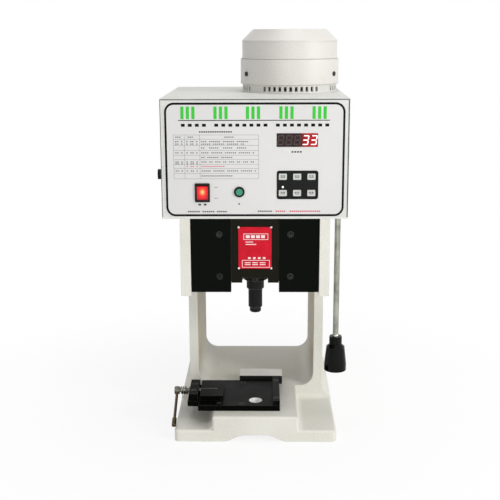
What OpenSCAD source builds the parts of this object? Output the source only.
// Bench terminal crimping machine: a cast iron C-frame press with a worm-driven crank,
// a black steel slide and ram, a quick-change applicator base and a control box on top.
// X runs across, Y runs to the back and Z runs up, in millimetres. The origin is under the
// middle of the machine, on the bench.

/* [Casting] */
// Width over the two cheeks and legs
frame_w = 248; // [220:1:300]
// Depth of the casting, front to back
frame_d = 370; // [340:1:420]
// Thickness of a cheek and of a leg
cheek_t = 17; // [14:0.5:22]
// How far the legs stand behind the front
leg_setback = 148; // [135:1:165]
// Height of the underside of the head
head_z = 264; // [250:1:300]
// Height of the head
head_h = 132; // [128:1:150]
// How far the foot slab stands out beyond a leg
slab_out = 17; // [10:0.5:24]
// Thickness of the foot slab
slab_h = 21; // [16:0.5:30]
// Width of the raised bed in front of the legs
bed_w = 150; // [130:1:170]
// Height of the bed above the bench
bed_h = 46; // [38:0.5:60]
// Radius of the lower corners of the window between the legs
window_r = 25; // [12:1:35]
// Height of the flare where a leg runs out into the slab
flare_h = 34; // [20:1:50]
// Width of the arch under the base
arch_w = 112; // [70:1:120]
// Height of the arch under the base
arch_h = 12; // [5:0.5:15]

/* [Slide and ram] */
// Stroke of the slide
stroke = 30; // [20:1:30]
// Height from the applicator plate to the ram's end with the slide down
shut_height = 135.8; // [130:0.1:142]
// How far the ram's axis stands behind the front
ram_setback = 51; // [49:1:54]
// Width of the slide's narrow face between the two front plates
face_w = 79; // [64:1:84]
// Width of the slide in its guide
slide_w = 93; // [90:0.5:98]
// Height of the slide's underside above the underside of the head
slide_rise = 22; // [18:0.5:26]
// Diameter of the ram
ram_d = 24; // [20:0.5:24]
// Diameter of the ram's end
ram_end_d = 19.6; // [14:0.2:19.6]
// Diameter of the collar on the ram
collar_d = 30; // [27:0.5:32]
// Diameter of the adjusting nut
nut_d = 39.5; // [34:0.5:42]
// Height of the adjusting nut
nut_h = 14; // [10:0.5:15]
// Pitch of the ram's adjusting thread
ram_pitch = 2; // [1:0.25:3]

/* [Drive] */
// Height of the crankshaft above the slide's underside
crank_rise = 44; // [42:0.5:46]
// Diameter of the crankshaft
crank_shaft_d = 40; // [32:1:42]
// Module of the worm and wheel
gear_module = 3; // [2.9:0.05:3]
// Number of teeth on the worm wheel
wheel_teeth = 30; // [28:1:30]
// Width of the worm wheel
wheel_w = 28; // [22:1:32]
// Pitch diameter of the worm
worm_d = 32; // [30:0.5:34]
// How far the worm wheel stands behind the front
wheel_setback = 208; // [204:1:214]
// Diameter of the worm shaft
worm_shaft_d = 20; // [16:0.5:20]

/* [Motor] */
// Diameter of the slotted end shield
shield_d = 169; // [150:1:172]
// Height of the slotted end shield
shield_h = 14; // [12:0.5:18]
// Diameter of the motor housing
motor_d = 176; // [160:1:184]
// Height of the motor housing
motor_h = 43.5; // [36:0.5:60]
// Diameter of the motor's cap
cap_d = 170; // [150:1:176]
// Height of the motor's cap
cap_h = 51; // [44:0.5:60]
// Height of the slope round the top of the cap
cap_slope_h = 19; // [10:0.5:24]
// Width of the slope round the top of the cap
cap_slope_w = 19; // [10:0.5:24]

/* [Control box] */
// How far the control box stands out beyond a side of the casting
box_out = 28.5; // [25:0.5:40]
// Depth of the control box
box_d = 340; // [325:1:365]
// Height of the control box
box_h = 195; // [185:1:215]
// Sheet thickness of the control box
sheet_t = 1.5; // [1:0.1:2]
// Width of the display window
display_w = 66; // [60:0.5:74]
// Height of the display window
display_h = 21.5; // [20:0.5:26]
// Number of digits on the display
digit_count = 5; // [3:1:5]
// Width of the keypad
keypad_w = 67; // [64:0.5:80]
// Height of the keypad
keypad_h = 46.5; // [44:0.5:56]
// Width of a key
key_w = 13; // [9:0.5:15]
// Height of a key
key_h = 10; // [7:0.5:13]
// Travel of a key
key_travel = 0.8; // [0.3:0.1:0.9]
// Width of the power switch's bezel
switch_w = 24.5; // [22:0.5:28]
// Height of the power switch's bezel
switch_h = 31; // [28:0.5:34]
// Tilt of the power switch from one side to the other
switch_tilt = 18; // [10:1:20]
// Diameter of the green button's bezel
button_bezel_d = 17.5; // [16:0.5:22]
// Diameter of the green button
button_d = 11; // [9:0.5:12]
// Travel of the green button
button_travel = 2.5; // [1:0.25:3]

/* [Applicator base] */
// Width of the applicator plate
plate_w = 144; // [138:1:150]
// Depth of the applicator plate, which ends before the legs
plate_d = 121.5; // [116:0.5:121.5]
// Thickness of the applicator plate
plate_t = 10; // [9:0.5:12]
// How far the plate's right edge stands right of the ram's axis
plate_right = 43; // [40:0.5:48]
// How far the plate's front edge stands behind the front
plate_front = 26; // [24:0.5:30]
// Diameter of the locating hole on the ram's axis
locating_d = 23; // [16:0.5:26]
// Width of the fixed rail on the right
rail_w = 12; // [9:0.5:13]
// Travel of the clamp jaw over the lever's whole swing
jaw_travel = 2; // [1:0.25:3]
// Swing of the clamp lever
lever_swing = 120; // [60:5:125]
// Length of the clamp lever
lever_l = 82; // [70:1:90]

/* [Work lamp] */
// Diameter of the gooseneck
neck_d = 10; // [8:0.5:12]
// Length of the gooseneck below its ferrule
neck_l = 204; // [170:1:220]
// Largest diameter of the lamp's shade
shade_d = 39; // [34:0.5:40]
// Height of the lamp's shade
shade_h = 43; // [38:0.5:50]
// How far the lamp stands out from the side of the casting
lamp_out = 17; // [14:0.5:19]
// How far the lamp stands behind the front
lamp_setback = 60; // [50:1:80]

/* [Hidden] */
$fn = 64;

// Overrun of every cut
over = 1;
// Running gap of a shaft in its bore, on the radius
run_gap = 0.05;
// Gap round a piece that sits in a hole or beside another piece
seat_gap = 0.3;
// Gap beside a sliding face
slide_gap = 0.1;
// How far the controls stand out of the front panel
proud = 3.5;

// Levels and planes that the pieces share
front_y = -(frame_d - proud) / 2;
box_z = head_z + head_h;
box_top = box_z + box_h;
slide_z = head_z + slide_rise;
crank_z = slide_z + crank_rise;
plate_z = bed_h + plate_t;
ram_end_z = plate_z + shut_height + stroke;
cheek_x = frame_w / 2 - cheek_t;
slab_w = frame_w + 2 * slab_out;
box_w = frame_w + 2 * box_out;
lamp_x = frame_w / 2 + lamp_out;

// Places are given across from the middle, back from the front plane and up from the bench
module block(x0, x1, d0, d1, z0, z1)
    translate([x0, front_y + d0, z0]) cube([x1 - x0, d1 - d0, z1 - z0]);
module rod_back(r, d0, d1, x = 0, z = 0)
    translate([x, front_y + d0, z]) rotate([-90, 0, 0]) cylinder(r = r, h = d1 - d0);
module rod_up(r, z0, z1, x = 0, d = 0)
    translate([x, front_y + d, z0]) cylinder(r = r, h = z1 - z0);
module rod_across(r, x0, x1, d, z)
    translate([x0, front_y + d, z]) rotate([0, 90, 0]) cylinder(r = r, h = x1 - x0);
module ring_back(r, bore, d0, d1, x, z) difference() {
    rod_back(r, d0, d1, x, z);
    rod_back(bore, d0 - over, d1 + over, x, z);
}
module ring_up(r, bore, z0, z1, x, d) difference() {
    rod_up(r, z0, z1, x, d);
    rod_up(bore, z0 - over, z1 + over, x, d);
}
// An outline seen from the front, the right or above, as thick as the two limits
module seen_front(d0, d1)
    translate([0, front_y + d1, 0]) rotate([90, 0, 0]) linear_extrude(d1 - d0) children();
module seen_side(x0, x1)
    translate([x0, front_y, 0]) rotate([90, 0, 90]) linear_extrude(x1 - x0) children();
module seen_above(z0, z1)
    translate([0, front_y, z0]) linear_extrude(z1 - z0) children();
module round_rect(x0, x1, y0, y1, r) {
    translate([x0 + r, y0]) square([x1 - x0 - 2 * r, y1 - y0]);
    translate([x0, y0 + r]) square([x1 - x0, y1 - y0 - 2 * r]);
    for (x = [x0 + r, x1 - r], y = [y0 + r, y1 - r]) translate([x, y]) circle(r);
}
// What a rounded edge takes off a square corner at the origin, the solid lying left and below
module corner_waste(r) difference() {
    translate([-r, -r]) square(r + over);
    translate([-r, -r]) circle(r);
}
// The web of a concave fillet in the corner right of and above the origin
module fillet_web(r) difference() {
    square(r);
    translate([r, r]) circle(r);
}
module both_sides() {
    children();
    mirror([1, 0, 0]) children();
}

// Shared sizes of the guide, the crank bores, the gear chamber and the worm
face_recess = 13;
block_d = 150;
guide_back = 85;
gib_t = 5.2;
guide_x = slide_w / 2 + slide_gap + gib_t;
slide_front = 4;
slide_back = 84;
disc_d = 62;
disc_front = 86.5;
disc_t = 14;
disc_room = 3;
bush_wall = 7;
front_bush_d = disc_front + disc_t + slide_gap;
front_bush_l = 48;
hub_flange_t = 8;
chamber_room = 2.5;
chamber_wall = 10.5;
chamber_back = 330;
wheel_front = wheel_setback - wheel_w / 2;
wheel_back = wheel_setback + wheel_w / 2;
wheel_r = gear_module * wheel_teeth / 2;
chamber_r = wheel_r + gear_module + chamber_room;
chamber_front = wheel_front - hub_flange_t - seat_gap;
bulge_r = chamber_r + chamber_wall;
worm_x = wheel_r + worm_d / 2;
worm_l = 56;
worm_room = 3;
worm_bore_r = worm_d / 2 + gear_module + worm_room;
worm_boss_wall = 10;
worm_boss_r = worm_bore_r + worm_boss_wall;
bearing_t = 12;
bearing_r = 17.5;
bearing_step = 4;
worm_foot_z = crank_z - worm_l / 2 - bearing_step - bearing_t;
worm_top_z = crank_z + worm_l / 2 + bearing_step;
boss_floor = 8;
deck_t = 16;

// Socket screws: one size is used all over the machine
screw_r = 3;
screw_l = 18;
screw_gap = 0.1;
screw_head_r = 5;
screw_head_h = 5;
screw_sink = 5.3;
hex_r = 2.9;
hex_deep = 3;
module socket_screw() difference() {
    union() {
        translate([0, 0, -screw_l]) cylinder(r = screw_r, h = screw_l);
        cylinder(r = screw_head_r, h = screw_head_h);
    }
    translate([0, 0, screw_head_h - hex_deep]) cylinder(r = hex_r, h = screw_head_h, $fn = 6);
}
// The hole for a screw, its head sunk below the surface that it starts from
module screw_hole(open = over) {
    translate([0, 0, -screw_l - over]) cylinder(r = screw_r + screw_gap, h = screw_l + 2 * over);
    cylinder(r = screw_head_r + seat_gap, h = screw_sink + open);
}
front_screw_x = 59;
front_screw_rise = [27, 99];
front_plate_t = 10;
module at_front_screws() for (side = [-1, 1], rise = front_screw_rise)
    translate([side * front_screw_x, front_y + face_recess - front_plate_t + screw_sink,
        head_z + block_rise + rise]) rotate([90, 0, 0]) children();
cover_t = 10;
cover_screws = 6;
module at_cover_screws() for (i = [0:cover_screws - 1])
    translate([0, front_y + chamber_back + cover_t - screw_sink, crank_z])
        rotate([0, 360 * (i + 0.5) / cover_screws, 0])
            translate([bulge_r - chamber_wall / 2, 0, 0]) rotate([-90, 0, 0]) children();
plate_screw_x = [-64, -24];
plate_screw_inset = 11;
module at_plate_screws()
    for (x = plate_screw_x, d = [plate_front + plate_screw_inset, plate_front + plate_d - plate_screw_inset])
        translate([x, front_y + d, plate_z - screw_sink]) children();
rail_h = 8;
rail_screw_inset = 19;
rail_x = plate_right - rail_w;
module at_rail_screws()
    for (d = [plate_front + rail_screw_inset, plate_front + plate_d - rail_screw_inset])
        translate([rail_x + rail_w / 2, front_y + d, plate_z + rail_h - screw_sink]) children();
clamp_setback = 82;
clamp_rise = 6;
clamp_z = plate_z + clamp_rise;
bracket_w = 16;
bracket_l = 70;
bracket_h = 13;
bracket_gap = 2;
bracket_x = plate_right - plate_w - bracket_gap - bracket_w;
bracket_screw_step = 15;
module at_bracket_screws() for (step = [-bracket_screw_step, bracket_screw_step])
    translate([bracket_x + bracket_w / 2, front_y + clamp_setback + step,
        plate_z + bracket_h - screw_sink]) children();
stop_x = 9;
stop_w = 80;
stop_front = 155;
stop_d = 36;
stop_h = 16.5;
stop_screw_step = 24;
stop_screw_grip = 12;
module at_stop_screws() for (step = [-stop_screw_step, stop_screw_step])
    translate([stop_x + step, front_y + stop_front + stop_d / 2, bed_h - stop_screw_grip])
        rotate([180, 0, 0]) children();
box_screw_inset = [40, 10];
box_screw_d = [box_screw_inset[0], box_d - box_screw_inset[1]];
module at_box_screws() for (side = [-1, 1], d = box_screw_d)
    translate([side * (frame_w - cheek_t) / 2, front_y + d, box_z + sheet_t]) children();
foot_flange_t = 10;
pedestal_foot_r = 60;
foot_screw_r = 52;
module at_pedestal_screws() for (turn = [45:90:315])
    translate([worm_x, front_y + wheel_setback, box_z + foot_flange_t - screw_sink])
        rotate(turn) translate([foot_screw_r, 0, 0]) children();
shield_floor = 4;
shield_screw_r = 66;
module at_shield_screws() for (turn = [45:90:315])
    translate([worm_x, front_y + wheel_setback, box_top + shield_floor])
        rotate(turn) translate([shield_screw_r, 0, 0]) children();
module socket_screws() color("#303030") {
    at_front_screws() socket_screw();
    at_cover_screws() socket_screw();
    at_plate_screws() socket_screw();
    at_rail_screws() socket_screw();
    at_bracket_screws() socket_screw();
    at_stop_screws() socket_screw();
    at_box_screws() socket_screw();
    at_pedestal_screws() socket_screw();
    at_shield_screws() socket_screw();
}

// Casting: one iron piece with foot, bed, legs, cheeks, head block and gear chamber
casting_round = 4;
slab_corner_r = 8;
bed_fillet = 10;
throat_r = 50;
arch_flat_share = 0.34;
arch_steps = 8;
block_rise = 6;
module frame_casting() color("gainsboro") difference() {
    union() {
        casting_foot();
        casting_legs();
        casting_head();
    }
    casting_bores();
    at_front_screws() screw_hole();
    at_cover_screws() screw_hole();
    at_plate_screws() screw_hole();
    at_rail_screws() screw_hole();
    at_stop_screws() screw_hole(bed_h);
    at_box_screws() screw_hole();
    at_pedestal_screws() screw_hole();
}
function arch_x(share) = arch_w / 2 * (arch_flat_share + (1 - arch_flat_share) * share);
function arch_z(share) = arch_h * (1 + cos(180 * share)) / 2;
module arch_outline() polygon(concat(
    [[arch_w / 2, -over], [-arch_w / 2, -over]],
    [for (i = [arch_steps:-1:0]) [-arch_x(i / arch_steps), arch_z(i / arch_steps)]],
    [for (i = [0:arch_steps]) [arch_x(i / arch_steps), arch_z(i / arch_steps)]]));
// A raised step of the foot, its front and side edges rounded, with the arch cut through
module foot_step(w, d, h, corner_r) difference() {
    seen_above(0, h) round_rect(-w / 2, w / 2, 0, d, corner_r);
    seen_front(-over, frame_d + over) arch_outline();
    seen_side(-slab_w, slab_w) translate([0, h]) mirror([1, 0]) corner_waste(casting_round);
    both_sides() seen_front(-over, leg_setback) translate([w / 2, h]) corner_waste(casting_round);
}
module casting_foot() {
    foot_step(slab_w, frame_d, slab_h, slab_corner_r);
    foot_step(bed_w, leg_setback + bed_fillet, bed_h, casting_round);
    both_sides() seen_front(casting_round, leg_setback + over)
        translate([bed_w / 2, slab_h]) fillet_web(bed_fillet);
    both_sides() seen_side(bed_w / 2, frame_w / 2)
        translate([leg_setback, slab_h]) mirror([1, 0]) fillet_web(bed_fillet);
}
flare_w = (slab_w - frame_w) / 2;
flare_r = (flare_w * flare_w + flare_h * flare_h) / (2 * flare_w);
module casting_legs() {
    seen_front(leg_setback, frame_d) difference() {
        translate([-frame_w / 2, slab_h / 2]) square([frame_w, box_z - slab_h / 2]);
        arch_outline();
        round_rect(-cheek_x, cheek_x, bed_h, box_z - deck_t, window_r);
    }
    both_sides() seen_front(leg_setback, frame_d) difference() {
        translate([frame_w / 2, slab_h]) square([flare_w, flare_h]);
        translate([frame_w / 2 + flare_r, slab_h + flare_h]) circle(flare_r);
    }
    both_sides() seen_side(cheek_x, frame_w / 2)
        translate([leg_setback, head_z]) mirror([1, 0]) mirror([0, 1]) fillet_web(throat_r);
}
module casting_head() {
    both_sides() block(cheek_x, frame_w / 2, 0, leg_setback + over, head_z, box_z);
    block(-cheek_x - over, cheek_x + over, face_recess, block_d, head_z + block_rise, box_z);
    rod_back(bulge_r, block_d - over, chamber_back, 0, crank_z);
    rod_up(worm_boss_r, worm_foot_z - boss_floor, box_z - over, worm_x, wheel_setback);
    block(0, worm_x, wheel_setback - worm_boss_r, wheel_setback + worm_boss_r,
        worm_foot_z - boss_floor, box_z - over);
}
module casting_bores() {
    block(-guide_x, guide_x, face_recess - over, guide_back, head_z - over, box_z + over);
    rod_back(disc_d / 2 + disc_room, guide_back - over, front_bush_d, 0, crank_z);
    rod_back(crank_shaft_d / 2 + run_gap + bush_wall + run_gap, disc_front, chamber_back, 0, crank_z);
    rod_back(chamber_r, chamber_front, chamber_back + over, 0, crank_z);
    rod_back(bulge_r + seat_gap, chamber_back, frame_d + over, 0, crank_z);
    rod_up(worm_bore_r, worm_foot_z + bearing_t + bearing_step / 2, box_z + over, worm_x, wheel_setback);
    rod_up(bearing_r + run_gap, worm_foot_z, crank_z, worm_x, wheel_setback);
    rod_up(locating_d / 2, bed_h - disc_h, bed_h + over, 0, ram_setback);
}

// Gibs: brass strips that the slide runs between
gib_inset = 2;
module slide_gibs() color("darkgoldenrod") both_sides()
    block(guide_x - gib_t, guide_x, face_recess + gib_inset, guide_back,
        head_z + block_rise + gib_inset, box_z - gib_inset);

// Front plates: black steel plates that hold the slide in its guide, each on two screws
front_plate_gap = 0.5;
front_plate_round = 1;
module front_plates() difference() {
    both_sides() seen_front(face_recess - front_plate_t, face_recess)
        round_rect(face_w / 2 + front_plate_gap, cheek_x - front_plate_gap,
            head_z + block_rise, box_z - front_plate_gap, front_plate_round);
    at_front_screws() screw_hole();
}
module left_front_plate() color("#1a1a18") intersection() {
    front_plates();
    block(-frame_w, 0, -over, block_d, 0, box_z);
}
module right_front_plate() color("#1a1a18") intersection() {
    front_plates();
    block(0, frame_w, -over, block_d, 0, box_z);
}

// Slide: black steel block with a rear window for the crank's roller and a notch for the nut
orbit = stroke / 2;
pin_r = 8;
roller_r = 11;
roller_room = 0.5;
window_x = orbit + roller_r + roller_room;
window_wall = 4.5;
window_front = ram_setback + ram_d / 2 + window_wall;
window_top = crank_z + window_x + stroke;
slide_top_wall = 7.5;
slide_top = window_top + slide_top_wall;
nut_drop = 6.5;
nut_z = slide_z - nut_drop;
nut_room = 1.7;
nut_hub_r = 15;
nut_hub_h = 8;
nut_seat = 0.5;
notch_top = nut_z + nut_h + nut_seat;
post_rise = 54;
post_room = 6;
flat_z = notch_top + nut_hub_h + nut_seat;
flat_share = 0.8;
module ram_bore(gap, top) difference() {
    rod_up(ram_d / 2 + gap, slide_z - over, top, 0, ram_setback);
    block(-ram_d, ram_d, ram_setback + ram_d / 2 * flat_share + gap, ram_setback + ram_d, flat_z, slide_top);
}
module ram_slide() color("#161614") difference() {
    union() {
        block(-face_w / 2, face_w / 2, slide_front, face_recess + window_wall, slide_z, slide_top);
        block(-slide_w / 2, slide_w / 2, face_recess + slide_gap, slide_back, slide_z, slide_top);
    }
    block(-nut_d / 2 - nut_room, nut_d / 2 + nut_room, slide_front - over,
        ram_setback + nut_d / 2 + nut_room, slide_z - over, notch_top);
    rod_up(nut_hub_r + run_gap, slide_z, flat_z, 0, ram_setback);
    ram_bore(run_gap, slide_z + post_rise + post_room);
    block(-window_x, window_x, window_front, slide_back + over, crank_z - window_x, window_top);
}

// Guard plate: plain red sheet riveted to the slide's face
guard_w = 55;
guard_h = 71;
guard_t = 1.2;
guard_rise = 24.5;
guard_round = 1.5;
rivet_r = 2;
rivet_h = 1.2;
rivet_inset = 0.5;
module guard_plate() color("crimson") seen_front(slide_front - guard_t, slide_front)
    round_rect(-guard_w / 2, guard_w / 2, slide_z + guard_rise,
        slide_z + guard_rise + guard_h, guard_round);
module guard_rivets() color("silver")
    for (x = [-1, 1] * (guard_w / 2 - rivet_inset),
        z = [slide_z + guard_rise + rivet_inset, slide_z + guard_rise + guard_h - rivet_inset])
        translate([x, front_y + slide_front - guard_t, z]) rotate([90, 0, 0])
            cylinder(r1 = rivet_r, r2 = rivet_r / 2, h = rivet_h);

// Ram: black steel post with a collar and a round end, flatted where it stands in the slide
ram_end_l = 8;
ram_end_round = 3;
ram_slope = 2.2;
ram_body_l = 34;
collar_chamfer = 1.5;
collar_gap = 0.3;
module ram() color("#161614") difference() {
    translate([0, front_y + ram_setback, ram_end_z]) rotate_extrude() ram_outline();
    block(-ram_d, ram_d, ram_setback + ram_d / 2 * flat_share, ram_setback + ram_d,
        flat_z - post_room, slide_top);
}
module ram_outline() difference() {
    polygon([
        [0, 0], [ram_end_d / 2, 0], [ram_end_d / 2, ram_end_l],
        [ram_d / 2, ram_end_l + ram_slope], [ram_d / 2, ram_end_l + ram_body_l],
        [collar_d / 2 - collar_chamfer, ram_end_l + ram_body_l],
        [collar_d / 2, ram_end_l + ram_body_l + collar_chamfer],
        [collar_d / 2, nut_z - collar_gap - ram_end_z], [ram_d / 2, nut_z - collar_gap - ram_end_z],
        [ram_d / 2, slide_z + post_rise - ram_end_z], [0, slide_z + post_rise - ram_end_z]
    ]);
    translate([ram_end_d / 2, 0]) mirror([0, 1]) corner_waste(ram_end_round);
}

// Adjusting nut: round nut with spanner slots, its hub turning in the slide
nut_slots = 6;
nut_slot_w = 5;
nut_slot_deep = 2.5;
nut_chamfer = 1.2;
module adjusting_nut() color("#262624") difference() {
    translate([0, front_y + ram_setback, nut_z]) rotate_extrude() polygon([
        [ram_d / 2 + run_gap, 0], [nut_d / 2 - nut_chamfer, 0], [nut_d / 2, nut_chamfer],
        [nut_d / 2, nut_h - nut_chamfer], [nut_d / 2 - nut_chamfer, nut_h],
        [nut_hub_r, nut_h], [nut_hub_r, nut_h + nut_hub_h], [ram_d / 2 + run_gap, nut_h + nut_hub_h]
    ]);
    translate([0, front_y + ram_setback, nut_z]) for (i = [0:nut_slots - 1])
        rotate(360 * (i + 0.5) / nut_slots)
            translate([nut_d / 2 - nut_slot_deep, -nut_slot_w / 2, -over])
                cube([nut_d, nut_slot_w, nut_h + 2 * over]);
}

// Crankshaft: disc with an offset pin at the front, shaft to the rear cover, feather for the wheel
pin_front = 69.5;
shaft_back = 334;
feather_w = 8;
feather_h = 3;
feather_gap = 0.05;
module crankshaft() color("silver") {
    rod_back(pin_r, pin_front, disc_front + over, 0, crank_z + orbit);
    rod_back(disc_d / 2, disc_front, disc_front + disc_t, 0, crank_z);
    rod_back(crank_shaft_d / 2, disc_front + disc_t - over, shaft_back, 0, crank_z);
    block(-feather_w / 2, feather_w / 2, wheel_front, wheel_back,
        crank_z, crank_z + crank_shaft_d / 2 + feather_h);
}
roller_front = 71;
roller_back = 85.5;
module crank_roller() color("dimgray")
    ring_back(roller_r, pin_r + run_gap, roller_front, roller_back, 0, crank_z + orbit);

// Bearings: two bronze bushes for the crankshaft, two ball bearings each for worm and rotor
rear_bush_l = 17;
rear_bush_inset = 11.5;
rear_bush_d = chamber_back - rear_bush_inset;
rotor_bearing_r = 20;
rotor_shaft_r = 10;
module bearings() {
    color("peru") {
        ring_back(crank_shaft_d / 2 + run_gap + bush_wall, crank_shaft_d / 2 + run_gap,
            front_bush_d, front_bush_d + front_bush_l, 0, crank_z);
        ring_back(crank_shaft_d / 2 + run_gap + bush_wall, crank_shaft_d / 2 + run_gap,
            rear_bush_d, rear_bush_d + rear_bush_l, 0, crank_z);
    }
    color("silver") {
        ring_up(bearing_r, worm_shaft_d / 2 + run_gap, worm_foot_z, worm_foot_z + bearing_t,
            worm_x, wheel_setback);
        ring_up(worm_bore_r - run_gap, worm_shaft_d / 2 + run_gap, worm_top_z, worm_top_z + bearing_t,
            worm_x, wheel_setback);
        for (z = [box_top + shield_floor, housing_top_z])
            ring_up(rotor_bearing_r, rotor_shaft_r + run_gap, z, z + bearing_t - seat_gap,
                worm_x, wheel_setback);
    }
}

// Rear cover: turned iron lid of the gear chamber, with the crankshaft's rear bush in it
cover_spigot = 12;
cover_boss_r = 34;
cover_boss_h = 6;
cover_floor = 4;
module rear_cover() color("gainsboro") difference() {
    union() {
        rod_back(bulge_r, chamber_back, chamber_back + cover_t, 0, crank_z);
        rod_back(chamber_r - run_gap, chamber_back - cover_spigot, chamber_back + over, 0, crank_z);
        rod_back(cover_boss_r, chamber_back, chamber_back + cover_t + cover_boss_h, 0, crank_z);
    }
    rod_back(crank_shaft_d / 2 + run_gap + bush_wall + run_gap, chamber_back - cover_spigot - over,
        chamber_back + cover_t + cover_boss_h - cover_floor, 0, crank_z);
    at_cover_screws() screw_hole();
}

// Worm wheel: bronze toothed rim on an iron hub that the feather drives
hub_r = 33;
hub_flange_r = 40;
wheel_root = 1.2 * gear_module;
thread_lead = PI * gear_module;
lead_angle = atan(thread_lead / (PI * worm_d));
pressure_tan = tan(20);
tooth_play = 0.35;
module wheel_hub() color("slategray") difference() {
    union() {
        rod_back(hub_r, wheel_front - hub_flange_t, wheel_back, 0, crank_z);
        rod_back(hub_flange_r, wheel_front - hub_flange_t, wheel_front, 0, crank_z);
    }
    rod_back(crank_shaft_d / 2 + run_gap, chamber_front - over, wheel_back + over, 0, crank_z);
    block(-feather_w / 2 - feather_gap, feather_w / 2 + feather_gap, wheel_front - over,
        wheel_back + over, crank_z, crank_z + crank_shaft_d / 2 + feather_h + feather_gap);
}
module tooth_gap() rotate([90 - lead_angle, 0, 0]) translate([0, 0, -wheel_w]) linear_extrude(2 * wheel_w)
    polygon([for (end = [[-wheel_root, -1], [gear_module + over, -1],
        [gear_module + over, 1], [-wheel_root, 1]])
        [wheel_r + end[0], end[1] * (thread_lead / 4 + tooth_play + end[0] * pressure_tan)]]);
module wheel_rim() color("peru") difference() {
    ring_back(wheel_r + gear_module, hub_r + run_gap, wheel_front, wheel_back, 0, crank_z);
    translate([0, front_y + wheel_setback, crank_z]) for (i = [0:wheel_teeth - 1])
        rotate([0, 360 * i / wheel_teeth, 0]) tooth_gap();
}

// Worm: steel sleeve with a single right-hand thread, pressed on its vertical shaft
worm_turns = 5;
worm_steps = 24;
worm_root_r = worm_d / 2 - wheel_root;
worm_tip_r = worm_d / 2 + gear_module - tooth_play;
worm_sink = 0.4;
function thread_half(r) = thread_lead / 4 - tooth_play - (r - worm_d / 2) * pressure_tan;
function thread_point(r, side, turn) = [r * cos(360 * turn), r * sin(360 * turn),
    thread_lead * (turn - worm_turns / 2) + side * thread_half(r)];
thread_corners = [[worm_root_r - worm_sink, -1], [worm_tip_r, -1],
    [worm_tip_r, 1], [worm_root_r - worm_sink, 1]];
thread_rings = worm_turns * worm_steps;
module worm_thread() polyhedron(
    points = [for (i = [0:thread_rings], c = thread_corners) thread_point(c[0], c[1], i / worm_steps)],
    faces = concat(
        [[3, 2, 1, 0]],
        [for (i = [0:thread_rings - 1], k = [0:3])
            [4 * i + k, 4 * i + (k + 1) % 4, 4 * (i + 1) + (k + 1) % 4]],
        [for (i = [0:thread_rings - 1], k = [0:3])
            [4 * i + k, 4 * (i + 1) + (k + 1) % 4, 4 * (i + 1) + k]],
        [[for (k = [0:3]) 4 * thread_rings + k]]));
module worm() color("silver") difference() {
    union() {
        rod_up(worm_root_r, crank_z - worm_l / 2, crank_z + worm_l / 2, worm_x, wheel_setback);
        translate([worm_x, front_y + wheel_setback, crank_z]) worm_thread();
    }
    rod_up(worm_shaft_d / 2 + run_gap, crank_z - worm_l, crank_z + worm_l, worm_x, wheel_setback);
}

// Worm shaft, rotor shaft and the coupling sleeve that joins them in the pedestal
worm_shaft_top = 470;
rotor_shaft_foot = 474;
coupling_r = 17;
coupling_l = 50;
grub_r = 2.5;
module worm_shaft() color("silver")
    rod_up(worm_shaft_d / 2, worm_foot_z, worm_shaft_top, worm_x, wheel_setback);
module shaft_coupling() color("slategray") difference() {
    rod_up(coupling_r, worm_shaft_top - coupling_l / 2, worm_shaft_top + coupling_l / 2,
        worm_x, wheel_setback);
    rod_up(worm_shaft_d / 2 + run_gap, box_z, rotor_shaft_foot, worm_x, wheel_setback);
    rod_up(rotor_shaft_r + run_gap, worm_shaft_top, box_top, worm_x, wheel_setback);
    for (z = [worm_shaft_top - coupling_l / 4, worm_shaft_top + coupling_l / 4])
        rod_back(grub_r, wheel_setback - 2 * coupling_r, wheel_setback, worm_x, z);
}

// Motor pedestal: cast tube on the head that carries the motor and lets the shaft through
pedestal_r = 40;
pedestal_wall = 8;
pedestal_top_r = 80;
pedestal_top_t = 14;
pedestal_window_w = 40;
pedestal_window_h = 60;
spigot_bore_r = 12;
module motor_pedestal() color("gainsboro") difference() {
    union() {
        rod_up(pedestal_r, box_z, box_top - sheet_t, worm_x, wheel_setback);
        rod_up(pedestal_foot_r, box_z, box_z + foot_flange_t, worm_x, wheel_setback);
        rod_up(pedestal_top_r, box_top - sheet_t - pedestal_top_t, box_top - sheet_t,
            worm_x, wheel_setback);
        rod_up(worm_bore_r - run_gap, worm_top_z + bearing_t, box_z + over, worm_x, wheel_setback);
    }
    rod_up(pedestal_r - pedestal_wall, box_z + foot_flange_t, box_top + over, worm_x, wheel_setback);
    rod_up(spigot_bore_r, box_z - head_h, box_top, worm_x, wheel_setback);
    block(worm_x - pedestal_window_w / 2, worm_x + pedestal_window_w / 2, 0, frame_d,
        worm_shaft_top - pedestal_window_h / 2, worm_shaft_top + pedestal_window_h / 2);
    at_pedestal_screws() screw_hole();
    at_shield_screws() screw_hole();
}

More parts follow.
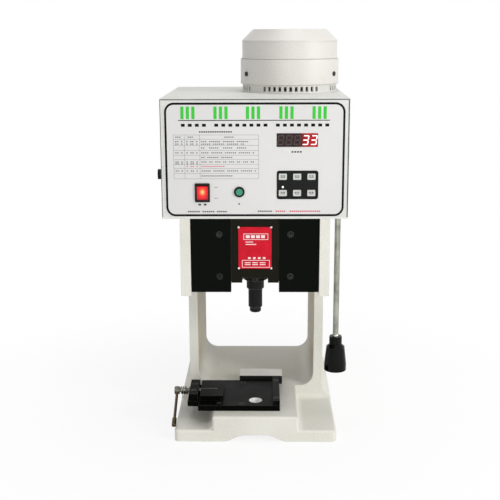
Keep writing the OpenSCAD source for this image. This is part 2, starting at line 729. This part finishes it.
// Motor end shield: slotted alloy ring with the lower bearing in its hub
shield_wall = 5;
bearing_hub_r = 26;
shield_slots = 11;
slot_turn = 6.5;
slot_w = 4.8;
slot_sill = 3;
module motor_end_shield() color("lightgray") difference() {
    union() {
        difference() {
            rod_up(shield_d / 2, box_top, box_top + shield_h, worm_x, wheel_setback);
            rod_up(shield_d / 2 - shield_wall, box_top + shield_floor, box_top + shield_h + over,
                worm_x, wheel_setback);
        }
        rod_up(bearing_hub_r, box_top, box_top + shield_h, worm_x, wheel_setback);
    }
    rod_up(rotor_bearing_r + run_gap, box_top + shield_floor, box_top + shield_h + over,
        worm_x, wheel_setback);
    rod_up(spigot_bore_r, box_top - over, box_top + shield_h, worm_x, wheel_setback);
    translate([worm_x, front_y + wheel_setback, box_top + slot_sill])
        for (side = [0:90:270], i = [0:shield_slots - 1])
            rotate(side + slot_turn * (i - (shield_slots - 1) / 2))
                translate([shield_d / 2 - shield_wall - over, -slot_w / 2, 0])
                    cube([2 * shield_wall, slot_w, shield_h - 2 * slot_sill]);
    at_shield_screws() screw_hole();
}

// Motor housing: drawn steel band round the stator, its top carrying the upper bearing
housing_z = box_top + shield_h;
housing_wall = 5;
housing_top_t = 4;
cap_z = housing_z + motor_h;
housing_top_z = cap_z;
upper_hub_h = 12;
motor_screw_z = 18;
motor_screw_turn = 30;
motor_screw_r = 4;
motor_screw_h = 2.2;
motor_screw_l = 4;
module at_motor_screws() translate([worm_x, front_y + wheel_setback, housing_z + motor_screw_z])
    for (turn = [motor_screw_turn, 180 - motor_screw_turn, 180 + motor_screw_turn, -motor_screw_turn])
        rotate(turn) translate([motor_d / 2, 0, 0]) rotate([0, 90, 0]) children();
module motor_housing() color("whitesmoke") difference() {
    union() {
        rod_up(motor_d / 2, housing_z, housing_z + motor_h, worm_x, wheel_setback);
        rod_up(bearing_hub_r, cap_z - over, cap_z + upper_hub_h, worm_x, wheel_setback);
    }
    rod_up(motor_d / 2 - housing_wall, housing_z - over, cap_z - housing_top_t, worm_x, wheel_setback);
    rod_up(rotor_bearing_r + run_gap, housing_top_z, cap_z + upper_hub_h + over, worm_x, wheel_setback);
    rod_up(spigot_bore_r, housing_z, box_top + motor_d, worm_x, wheel_setback);
    at_motor_screws() translate([0, 0, -housing_wall - over])
        cylinder(r = motor_screw_r / 2 + screw_gap, h = 2 * housing_wall);
}
module motor_screws() color("#2a2a2a") at_motor_screws() difference() {
    union() {
        cylinder(r = motor_screw_r, h = motor_screw_h);
        translate([0, 0, -motor_screw_l]) cylinder(r = motor_screw_r / 2, h = motor_screw_l + over / 2);
    }
    translate([0, 0, motor_screw_h / 2]) cylinder(r = motor_screw_r / 2, h = motor_screw_h, $fn = 6);
}

// Motor cap: sheet cover over the fan with a sloping shoulder and radial air slots on top
cap_wall = 2.5;
cap_slots = 18;
cap_slot_w = 5;
cap_slot_in = 22;
cap_slot_out = 56;
module cap_outline(inset) polygon([
    [0, -inset], [cap_d / 2 - inset, -inset], [cap_d / 2 - inset, cap_h - cap_slope_h],
    [cap_d / 2 - cap_slope_w - inset, cap_h - inset], [0, cap_h - inset]]);
module motor_cap() color("whitesmoke") difference() {
    translate([worm_x, front_y + wheel_setback, cap_z]) difference() {
        rotate_extrude() cap_outline(0);
        rotate_extrude() cap_outline(cap_wall);
    }
    translate([worm_x, front_y + wheel_setback, cap_z]) for (i = [0:cap_slots - 1])
        rotate(360 * i / cap_slots) translate([cap_slot_in, -cap_slot_w / 2, cap_h - 2 * cap_wall])
            cube([cap_slot_out - cap_slot_in, cap_slot_w, 3 * cap_wall]);
}

// Stator: laminated ring with a copper winding above and below
stator_in_r = 47;
stator_foot = 8;
stator_h = 22;
winding_in_r = 52;
winding_out_r = 74;
winding_h = 6;
module stator() {
    color("dimgray") ring_up(motor_d / 2 - housing_wall - run_gap, stator_in_r,
        housing_z + stator_foot, housing_z + stator_foot + stator_h, worm_x, wheel_setback);
    color("chocolate") for (z = [housing_z + stator_foot - winding_h, housing_z + stator_foot + stator_h])
        ring_up(winding_out_r, winding_in_r, z, z + winding_h, worm_x, wheel_setback);
}
rotor_gap = 1;
module motor_rotor() color("silver") {
    rod_up(rotor_shaft_r, rotor_shaft_foot, cap_z + fan_rise + fan_h + over, worm_x, wheel_setback);
    rod_up(stator_in_r - rotor_gap, housing_z + stator_foot, housing_z + stator_foot + stator_h,
        worm_x, wheel_setback);
}
fan_rise = 13;
fan_h = 16;
fan_r = 66;
fan_hub_r = 18;
fan_blades = 9;
blade_t = 2.5;
module motor_fan() color("#30343a") difference() {
    union() {
        rod_up(fan_hub_r, cap_z + fan_rise, cap_z + fan_rise + fan_h, worm_x, wheel_setback);
        rod_up(fan_r, cap_z + fan_rise, cap_z + fan_rise + blade_t, worm_x, wheel_setback);
        translate([worm_x, front_y + wheel_setback, cap_z + fan_rise]) for (i = [0:fan_blades - 1])
            rotate(360 * i / fan_blades) translate([fan_hub_r - over, -blade_t / 2, 0])
                cube([fan_r - fan_hub_r, blade_t, fan_h]);
    }
    rod_up(rotor_shaft_r + run_gap, cap_z, cap_z + cap_h, worm_x, wheel_setback);
}

// Box shell: folded sheet body with floor, sides, top and back
rim_d = 12;
rim_gap = 0.3;
flange_w = 9;
vent_count = 8;
vent_w = 3.5;
vent_l = 90;
vent_step = 11;
vent_rise = 60;
shell_front = rim_d + rim_gap;
pass_r = 34;
module box_shell() color("#e0e0de") difference() {
    block(-box_w / 2, box_w / 2, shell_front, box_d, box_z, box_top);
    block(-box_w / 2 + sheet_t, box_w / 2 - sheet_t, shell_front + sheet_t, box_d - sheet_t,
        box_z + sheet_t, box_top - sheet_t);
    block(-box_w / 2 + flange_w, box_w / 2 - flange_w, 0, shell_front + 2 * sheet_t,
        box_z + flange_w, box_top - flange_w);
    rod_up(pedestal_foot_r + seat_gap, box_z - over, box_z + 2 * sheet_t, worm_x, wheel_setback);
    rod_up(pass_r, box_top - 2 * sheet_t, box_top + over, worm_x, wheel_setback);
    at_shield_screws() screw_hole();
    at_box_screws() screw_hole();
    for (side = [-1, 1], i = [0:vent_count - 1])
        block(side * box_w / 4 - vent_l / 2, side * box_w / 4 + vent_l / 2, box_d - 2 * sheet_t,
            box_d + over, box_z + vent_rise + i * vent_step, box_z + vent_rise + i * vent_step + vent_w);
    rod_across(socket_stem_r + seat_gap, -box_w, 0, socket_setback, socket_z);
    block(inlet_x - inlet_w / 2 - seat_gap, inlet_x + inlet_w / 2 + seat_gap, box_d - 2 * sheet_t,
        box_d + over, inlet_z - inlet_h / 2 - seat_gap, inlet_z + inlet_h / 2 + seat_gap);
    rod_up(ferrule_stem_r + seat_gap, box_z - over, box_z + 2 * sheet_t, lamp_x, lamp_setback);
}

// Front panel: sheet tray that closes the box, with the openings for the controls
display_x = 68.6;
display_rise = 129.2;
display_z = box_z + display_rise;
keypad_x = 69.5;
keypad_rise = 56.2;
keypad_z = box_z + keypad_rise;
switch_x = -85.6;
switch_rise = 43.6;
switch_z = box_z + switch_rise;
button_x = -25.3;
button_rise = 44.8;
button_z = box_z + button_rise;
standoff_r = 3;
board_front = 16;
board_x0 = -10;
board_x1 = 112;
board_rise0 = 26;
board_rise1 = 150;
board_inset = 5;
module at_panel_openings(d0, d1, grow) {
    block(display_x - display_w / 2 - grow, display_x + display_w / 2 + grow, d0, d1,
        display_z - display_h / 2 - grow, display_z + display_h / 2 + grow);
    seen_front(d0, d1) round_rect(keypad_x - keypad_w / 2 - grow, keypad_x + keypad_w / 2 + grow,
        keypad_z - keypad_h / 2 - grow, keypad_z + keypad_h / 2 + grow, keypad_round);
    block(switch_x - switch_w / 2 + bezel_lip, switch_x + switch_w / 2 - bezel_lip, d0, d1,
        switch_z - switch_h / 2 + bezel_lip, switch_z + switch_h / 2 - bezel_lip);
    rod_back(button_tube_r + grow, d0, d1, button_x, button_z);
}
module front_panel() color("#e4e4e2") {
    difference() {
        block(-box_w / 2, box_w / 2, 0, rim_d, box_z, box_top);
        block(-box_w / 2 + sheet_t, box_w / 2 - sheet_t, sheet_t, rim_d + over,
            box_z + sheet_t, box_top - sheet_t);
        at_panel_openings(-over, sheet_t + over, seat_gap);
    }
    for (x = [board_x0 + board_inset, board_x1 - board_inset],
        rise = [board_rise0 + board_inset, board_rise1 - board_inset])
        rod_back(standoff_r, sheet_t / 2, board_front - slide_gap, x, box_z + rise);
}

// Panel overlay: printed film with a rounded black border
overlay_t = 0.5;
overlay_w = 294;
overlay_low = 3.5;
overlay_high = 4;
overlay_round = 16;
module panel_overlay() color("#ebebe9") difference() {
    seen_front(-overlay_t, 0) round_rect(-overlay_w / 2, overlay_w / 2, box_z + overlay_low,
        box_top - overlay_high, overlay_round);
    at_panel_openings(-2 * over, over, seat_gap);
}

// Display: smoked window in the panel, five seven-segment modules and the status lamp behind it
glass_front = 0.9;
glass_deep = 3;
digit_step = 13.3;
digit_w = 12.2;
digit_h = 19;
status_x = 45.5;
status_rise = 53;
status_r = 2.2;
status_front = 1.9;
module display_window() color("#1c1412") block(display_x - display_w / 2, display_x + display_w / 2,
    -glass_front, glass_deep, display_z - display_h / 2, display_z + display_h / 2);
module led_modules() {
    color("#302020") for (i = [0:digit_count - 1])
        block(display_x + digit_step * (i - (digit_count - 1) / 2) - digit_w / 2,
            display_x + digit_step * (i - (digit_count - 1) / 2) + digit_w / 2,
            glass_deep + seat_gap, board_front - slide_gap,
            display_z - digit_h / 2, display_z + digit_h / 2);
    color("#d8d0c0") rod_back(status_r, -status_front, board_front - slide_gap,
        status_x, box_z + status_rise);
}

// Keypad: black plate in the panel, six keys that travel inwards onto the board
keypad_round = 4;
keypad_front = 1.2;
keypad_deep = 3;
key_gap_w = 0.35;
key_front = 2.3;
key_step_x = 23.2;
key_step_z = 26.8;
keys_x = 68.8;
keys_rise = 56.5;
stem_r = 2.5;
function key_place(i) = [keys_x + key_step_x * (i % 3 - 1),
    box_z + keys_rise + key_step_z * (i < 3 ? 0.5 : -0.5)];
module keypad_base() color("#181818") difference() {
    seen_front(-keypad_front, keypad_deep) round_rect(keypad_x - keypad_w / 2, keypad_x + keypad_w / 2,
        keypad_z - keypad_h / 2, keypad_z + keypad_h / 2, keypad_round);
    for (i = [0:5]) let (p = key_place(i))
        block(p[0] - key_w / 2 - key_gap_w, p[0] + key_w / 2 + key_gap_w, -keypad_front - over,
            keypad_deep + over, p[1] - key_h / 2 - key_gap_w, p[1] + key_h / 2 + key_gap_w);
    rod_back(status_r + seat_gap, -keypad_front - over, keypad_deep + over, status_x, box_z + status_rise);
}
key_round = 1.2;
// The cap and stem of one key round its centre
module key(p) color("#d6d6d2") {
    seen_front(-key_front, keypad_deep) round_rect(p[0] - key_w / 2, p[0] + key_w / 2,
        p[1] - key_h / 2, p[1] + key_h / 2, key_round);
    rod_back(stem_r, keypad_deep - over, board_front - key_travel - slide_gap, p[0], p[1]);
}
module key_1() key(key_place(0));
module key_2() key(key_place(1));
module key_3() key(key_place(2));
module key_4() key(key_place(3));
module key_5() key(key_place(4));
module key_6() key(key_place(5));

// Bezels: frames of the power switch and of the green button, each with its body in the panel
bezel_lip = 1.5;
bezel_front = 2.4;
switch_body_l = 24;
rocker_w = 17.6;
rocker_h = 22.6;
rocker_side_gap = 0.4;
rocker_end_gap = 1;
rocker_axis_d = 4;
rocker_crown = 5.4;
rocker_valley = 4.6;
rocker_skirt = 8;
rocker_inset = 0.8;
rocker_pin_r = 1.5;
rocker_pin_l = 1;
bezel_wall = 1.2;
button_tube_r = 7.2;
button_body_l = 16;
module control_bezels() color("#151515") {
    difference() {
        union() {
            seen_front(-bezel_front, -overlay_t) round_rect(switch_x - switch_w / 2,
                switch_x + switch_w / 2, switch_z - switch_h / 2, switch_z + switch_h / 2, bezel_lip);
            block(switch_x - switch_w / 2 + bezel_lip + seat_gap,
                switch_x + switch_w / 2 - bezel_lip - seat_gap, -overlay_t - over,
                switch_body_l, switch_z - switch_h / 2 + bezel_lip + seat_gap,
                switch_z + switch_h / 2 - bezel_lip - seat_gap);
        }
        block(switch_x - rocker_w / 2 - rocker_side_gap, switch_x + rocker_w / 2 + rocker_side_gap,
            -proud, switch_body_l - bezel_lip, switch_z - rocker_h / 2 - rocker_end_gap,
            switch_z + rocker_h / 2 + rocker_end_gap);
        rocker_pins(run_gap, rocker_pin_l + slide_gap);
    }
    difference() {
        union() {
            rod_back(button_bezel_d / 2, -bezel_front, -overlay_t, button_x, button_z);
            rod_back(button_tube_r, -bezel_front + over, button_body_l, button_x, button_z);
        }
        rod_back(button_d / 2 + seat_gap, -proud, button_body_l - bezel_lip, button_x, button_z);
    }
}

// Power switch: red rocker on two pins, drawn with its lower end pressed in
module rocker_pins(gap, l)
    rod_across(rocker_pin_r + gap, switch_x - rocker_w / 2 - l, switch_x + rocker_w / 2 + l,
        rocker_axis_d, switch_z);
module power_switch() color("#d01818") {
    rocker_pins(0, rocker_pin_l);
    translate([switch_x - rocker_w / 2, front_y + rocker_axis_d, switch_z]) rotate([switch_tilt / 2, 0, 0])
        rotate([90, 0, 90]) linear_extrude(rocker_w) polygon([
            [-rocker_crown, -rocker_h / 2], [-rocker_valley, 0], [-rocker_crown, rocker_h / 2],
            [0, rocker_h / 2 - rocker_inset], [rocker_skirt, rocker_h / 4],
            [rocker_skirt, -rocker_h / 4], [0, -rocker_h / 2 + rocker_inset]]);
}

// Green button: cap and stem that travel inwards in the bezel's tube
button_stem_l = 9;
module green_button() color("#28b040")
    rod_back(button_d / 2, -proud, button_stem_l, button_x, button_z);

// Circuit board behind the panel, its parts soldered on the back
board_t = 1.6;
capacitor_r = 6;
capacitor_l = 18;
relay_w = 18;
relay_l = 15;
relay_x = [8, 34, 60, 86];
capacitor_x = [16, 46, 76];
relay_rise = 44;
capacitor_rise = 92;
module circuit_board() {
    color("darkgreen") block(board_x0, board_x1, board_front, board_front + board_t,
        box_z + board_rise0, box_z + board_rise1);
    color("black") for (x = relay_x)
        block(x - relay_w / 2, x + relay_w / 2, board_front + board_t / 2,
            board_front + board_t + relay_l, box_z + relay_rise - relay_w / 2,
            box_z + relay_rise + relay_w / 2);
    color("navy") for (x = capacitor_x)
        rod_back(capacitor_r, board_front + board_t / 2, board_front + board_t + capacitor_l,
            x, box_z + capacitor_rise);
}

// Transformer and motor drive on the floor of the box
core_side_gap = 22.5;
core_w = 70;
core_x = core_side_gap + core_w / 2 - box_w / 2;
core_front = 84;
core_d = 30;
core_h = 58;
coil_w = 40;
coil_out = 14;
coil_inset = 8;
floor_z = box_z + sheet_t;
module transformer() {
    color("dimgray") block(core_x - core_w / 2, core_x + core_w / 2, core_front, core_front + core_d,
        floor_z, floor_z + core_h);
    color("goldenrod") block(core_x - coil_w / 2, core_x + coil_w / 2, core_front - coil_out,
        core_front + core_d + coil_out, floor_z + coil_inset, floor_z + core_h - coil_inset);
}
drive_side_gap = 17.5;
drive_w = 100;
drive_x = drive_side_gap + drive_w / 2 - box_w / 2;
drive_back_gap = 35;
drive_d = 115;
drive_front = box_d - drive_back_gap - drive_d;
drive_h = 122;
fin_count = 9;
fin_t = 3;
fin_h = 14;
module motor_drive() color("darkslategray") {
    block(drive_x - drive_w / 2, drive_x + drive_w / 2, drive_front, drive_front + drive_d,
        floor_z, floor_z + drive_h);
    for (i = [0:fin_count - 1])
        block(drive_x - drive_w / 2 + i * (drive_w - fin_t) / (fin_count - 1),
            drive_x - drive_w / 2 + i * (drive_w - fin_t) / (fin_count - 1) + fin_t,
            drive_front - fin_h, drive_front + over, floor_z + fin_h, floor_z + drive_h - fin_h);
}

// Side socket for the foot pedal's cord, and the power inlet in the back
socket_setback = 28;
socket_rise = 70;
socket_z = box_z + socket_rise;
socket_r = 8.5;
socket_h = lamp_x + shade_d / 2 - box_w / 2;
socket_bore_r = 5.5;
socket_stem_r = 6.5;
socket_stem_l = 10;
socket_pin_r = 1;
socket_pin_ring = 3;
module side_socket() color("#2a2a2a") {
    difference() {
        union() {
            rod_across(socket_r, -box_w / 2 - socket_h, -box_w / 2, socket_setback, socket_z);
            rod_across(socket_stem_r, -box_w / 2 - over, -box_w / 2 + socket_stem_l,
                socket_setback, socket_z);
        }
        rod_across(socket_bore_r, -box_w / 2 - socket_h - over, -box_w / 2 + sheet_t,
            socket_setback, socket_z);
    }
    for (turn = [0:90:270])
        rod_across(socket_pin_r, -box_w / 2 - socket_h / 2, -box_w / 2 + sheet_t + over,
            socket_setback + socket_pin_ring * cos(turn), socket_z + socket_pin_ring * sin(turn));
}
inlet_side = 52.5;
inlet_x = inlet_side - box_w / 2;
inlet_rise = 30;
inlet_z = box_z + inlet_rise;
inlet_w = 30;
inlet_h = 22;
inlet_flange = 6;
inlet_flange_t = 3;
inlet_l = 22;
inlet_wall = 3;
inlet_pin_w = 2;
inlet_pin_h = 6;
inlet_pin_step = 7;
module power_inlet() color("#202020") {
    difference() {
        union() {
            block(inlet_x - inlet_w / 2 - inlet_flange, inlet_x + inlet_w / 2 + inlet_flange,
                box_d, box_d + inlet_flange_t, inlet_z - inlet_h / 2 - inlet_flange / 2,
                inlet_z + inlet_h / 2 + inlet_flange / 2);
            block(inlet_x - inlet_w / 2, inlet_x + inlet_w / 2, box_d - inlet_l, box_d + over,
                inlet_z - inlet_h / 2, inlet_z + inlet_h / 2);
        }
        block(inlet_x - inlet_w / 2 + inlet_wall, inlet_x + inlet_w / 2 - inlet_wall,
            box_d - inlet_l + inlet_wall, box_d + inlet_flange_t + over,
            inlet_z - inlet_h / 2 + inlet_wall, inlet_z + inlet_h / 2 - inlet_wall);
    }
    for (i = [-1:1])
        block(inlet_x + i * inlet_pin_step - inlet_pin_w / 2, inlet_x + i * inlet_pin_step + inlet_pin_w / 2,
            box_d - inlet_l + inlet_wall / 2, box_d - inlet_wall,
            inlet_z - inlet_pin_h / 2, inlet_z + inlet_pin_h / 2);
}

// Work lamp: ferrule in the floor of the box, gooseneck, shade and lens
ferrule_r = 7;
ferrule_h = 9.5;
ferrule_stem_r = 5;
ferrule_stem_h = 8;
ferrule_nut_r = 9;
ferrule_nut_h = 4;
ball_r = 5.3;
ball_drop = 12;
ball_z = box_z - ball_drop;
module lamp_ferrule() color("dimgray") difference() {
    union() {
        rod_up(ferrule_r, box_z - ferrule_h, box_z, lamp_x, lamp_setback);
        rod_up(ferrule_stem_r, box_z - over, box_z + ferrule_stem_h, lamp_x, lamp_setback);
        rod_up(ferrule_nut_r, floor_z + seat_gap, floor_z + seat_gap + ferrule_nut_h,
            lamp_x, lamp_setback);
    }
    translate([lamp_x, front_y + lamp_setback, ball_z]) sphere(ball_r + seat_gap);
}
head_ball_r = 6;
head_z0 = ball_z - neck_l - head_ball_r;
module lamp_neck() color("#3a3634") {
    translate([lamp_x, front_y + lamp_setback, ball_z]) sphere(ball_r);
    rod_up(neck_d / 2, head_z0, ball_z, lamp_x, lamp_setback);
    translate([lamp_x, front_y + lamp_setback, head_z0]) sphere(head_ball_r);
}
shade_neck_r = 10.5;
shade_neck_h = 14;
shade_step_h = 5;
shade_top_r = 16;
shade_rim_h = 11;
shade_wall = 1.5;
shade_top = head_z0 - shade_neck_h - shade_step_h;
shade_z = shade_top - shade_h;
module shade_outline(inset) polygon([
    [0, -inset], [shade_d / 2 - inset, -inset], [shade_d / 2 - inset, shade_rim_h],
    [shade_top_r - inset, shade_h - inset], [0, shade_h - inset]]);
module lamp_shade() color("#1a1a1a") translate([lamp_x, front_y + lamp_setback, shade_z]) difference() {
    union() {
        rotate_extrude() difference() {
            shade_outline(0);
            shade_outline(shade_wall);
        }
        translate([0, 0, shade_h - over / 2])
            cylinder(r1 = shade_top_r - over / 2, r2 = shade_neck_r, h = shade_step_h + over / 2);
        translate([0, 0, shade_h]) cylinder(r = shade_neck_r, h = shade_neck_h + shade_step_h);
    }
    translate([0, 0, head_z0 - shade_z]) sphere(head_ball_r + seat_gap);
}
lens_rise = 2;
lens_t = 2;
module lamp_lens() color("lightyellow") rod_up(shade_d / 2 - shade_wall - seat_gap,
    shade_z + lens_rise, shade_z + lens_rise + lens_t, lamp_x, lamp_setback);

// Applicator plate: black base for the crimping tool, screwed to the bed, with a tongue for the clamp
plate_left = plate_right - plate_w;
tongue_l = bracket_gap + bracket_w + bracket_gap;
tongue_d = 80;
plate_chamfer = 1;
module applicator_plate() color("#202020") difference() {
    union() {
        block(plate_left, plate_right, plate_front, plate_front + plate_d, bed_h, plate_z);
        block(plate_left - tongue_l, plate_left + over, clamp_setback - tongue_d / 2 + bracket_gap,
            clamp_setback + tongue_d / 2 + bracket_gap, bed_h + plate_chamfer, plate_z);
    }
    rod_up(locating_d / 2, bed_h - over, plate_z + over, 0, ram_setback);
    at_plate_screws() screw_hole();
    at_rail_screws() screw_hole();
    at_bracket_screws() screw_hole();
}

// Fixed rail with an undercut for the tool's flange, the disc in the bed's recess, and the rear stop
undercut_w = 3;
undercut_h = 5;
rail_front = 29;
module right_rail() color("#202020") difference() {
    block(rail_x, plate_right, rail_front, plate_front + plate_d, plate_z, plate_z + rail_h);
    block(rail_x - over, rail_x + undercut_w, 0, frame_d, plate_z - over, plate_z + undercut_h);
    at_rail_screws() screw_hole();
}
disc_h = 2;
module floor_disc() color("silver")
    rod_up(locating_d / 2 - seat_gap, bed_h - disc_h, bed_h, 0, ram_setback);
module rear_stop() color("silver") difference() {
    block(stop_x - stop_w / 2, stop_x + stop_w / 2, stop_front, stop_front + stop_d,
        bed_h, bed_h + stop_h);
    at_stop_screws() screw_hole();
}

// Clamp: bracket on the tongue, jaw on two guide pins, screw with spring and lever
pin_step = 26;
pin_rise = 4;
guide_pin_r = 2.25;
clamp_screw_r = 4;
module clamp_bracket() color("#202020") difference() {
    block(bracket_x, bracket_x + bracket_w, clamp_setback - bracket_l / 2,
        clamp_setback + bracket_l / 2, plate_z, plate_z + bracket_h);
    rod_across(clamp_screw_r + run_gap, bracket_x - over, bracket_x + bracket_w + over,
        clamp_setback, clamp_z);
    for (step = [-pin_step, pin_step])
        rod_across(guide_pin_r + slide_gap, bracket_x - over, bracket_x + bracket_w + over,
            clamp_setback + step, plate_z + pin_rise);
    at_bracket_screws() screw_hole();
}
jaw_w = 41;
jaw_lift = 0.2;
jaw_h = 10;
jaw_step = 4;
jaw_x = bracket_x + bracket_w + jaw_step;
jaw_wall = 6;
pin_out = 1;
module clamp_jaw() {
    color("#202020") difference() {
        block(jaw_x, jaw_x + jaw_w, clamp_setback - bracket_l / 2, clamp_setback + bracket_l / 2,
            plate_z + jaw_lift, plate_z + jaw_h);
        block(jaw_x + jaw_w - undercut_w, jaw_x + jaw_w + over, 0, frame_d, plate_z, plate_z + undercut_h);
        rod_across(clamp_screw_r + seat_gap, jaw_x - over, jaw_x + jaw_w - jaw_wall, clamp_setback, clamp_z);
    }
    color("silver") for (step = [-pin_step, pin_step])
        rod_across(guide_pin_r, bracket_x - pin_out, jaw_x + over, clamp_setback + step, plate_z + pin_rise);
}
clamp_hub_r = 7;
clamp_hub_x = -147;
clamp_hub_w = 9;
collar_r = 5.7;
collar_w = 2.6;
stop_ring_w = 2;
lever_r = 2.5;
lever_fall = 26;
lever_tip_r = 4;
lever_tip_l = 16;
lever_at = clamp_hub_x + clamp_hub_w / 2;
module lever_place() translate([lever_at, front_y + clamp_setback, clamp_z]) rotate([90 + lever_fall, 0, 0])
    children();
module clamp_screw() color("gray") difference() {
    union() {
        rod_across(clamp_hub_r, clamp_hub_x, clamp_hub_x + clamp_hub_w, clamp_setback, clamp_z);
        rod_across(clamp_screw_r, clamp_hub_x + over, jaw_x + jaw_w - jaw_wall - 2 * jaw_travel,
            clamp_setback, clamp_z);
        rod_across(collar_r, bracket_x - slide_gap - collar_w, bracket_x - slide_gap, clamp_setback, clamp_z);
        rod_across(collar_r, bracket_x + bracket_w + slide_gap,
            bracket_x + bracket_w + slide_gap + stop_ring_w / 2, clamp_setback, clamp_z);
    }
    lever_place() translate([0, 0, -clamp_hub_r - 2 * over])
        cylinder(r = lever_r + run_gap, h = 2 * clamp_hub_r + 4 * over);
}
spring_wire = 2.8;
spring_r = 6.6;
spring_turns = 3;
spring_sides = 6;
curl_rings = 8;
spring_x0 = clamp_hub_x + clamp_hub_w + spring_wire / 2 + seat_gap;
spring_x1 = bracket_x - slide_gap - collar_w - spring_wire / 2 - seat_gap;
spring_pitch = (spring_x1 - spring_x0) / spring_turns;
echo(spring_gap = spring_pitch - spring_wire);
function spring_ring(i) = let (turn = 360 * i / curl_rings) [for (k = [0:spring_sides - 1])
    let (out = spring_r + spring_wire / 2 * cos(360 * k / spring_sides))
    [spring_x0 + spring_pitch * i / curl_rings + spring_wire / 2 * sin(360 * k / spring_sides),
        out * cos(turn), out * sin(turn)]];
spring_rings = spring_turns * curl_rings;
module clamp_spring() color("silver") translate([0, front_y + clamp_setback, clamp_z]) polyhedron(
    points = [for (i = [0:spring_rings], p = spring_ring(i)) p],
    faces = concat(
        [[for (k = [0:spring_sides - 1]) k]],
        [for (i = [0:spring_rings - 1], k = [0:spring_sides - 1])
            [spring_sides * i + k, spring_sides * (i + 1) + k,
                spring_sides * (i + 1) + (k + 1) % spring_sides]],
        [for (i = [0:spring_rings - 1], k = [0:spring_sides - 1])
            [spring_sides * i + k, spring_sides * (i + 1) + (k + 1) % spring_sides,
                spring_sides * i + (k + 1) % spring_sides]],
        [[for (k = [spring_sides - 1:-1:0]) spring_sides * spring_rings + k]]));
module clamp_lever() {
    color("rosybrown") lever_place() translate([0, 0, -clamp_hub_r - over])
        cylinder(r = lever_r, h = lever_l + clamp_hub_r - lever_tip_l / 2);
    color("#202020") lever_place() translate([0, 0, lever_l - lever_tip_l])
        cylinder(r = lever_tip_r, h = lever_tip_l);
}

frame_casting();
slide_gibs();
left_front_plate();
right_front_plate();
socket_screws();
ram_slide();
guard_plate();
guard_rivets();
ram();
adjusting_nut();
crankshaft();
crank_roller();
bearings();
rear_cover();
wheel_hub();
wheel_rim();
worm();
worm_shaft();
shaft_coupling();
motor_pedestal();
motor_end_shield();
motor_housing();
motor_cap();
motor_screws();
stator();
motor_rotor();
motor_fan();
box_shell();
front_panel();
panel_overlay();
display_window();
led_modules();
keypad_base();
key_1();
key_2();
key_3();
key_4();
key_5();
key_6();
control_bezels();
power_switch();
green_button();
circuit_board();
transformer();
motor_drive();
side_socket();
power_inlet();
lamp_ferrule();
lamp_neck();
lamp_shade();
lamp_lens();
applicator_plate();
right_rail();
floor_disc();
rear_stop();
clamp_bracket();
clamp_jaw();
clamp_screw();
clamp_spring();
clamp_lever();
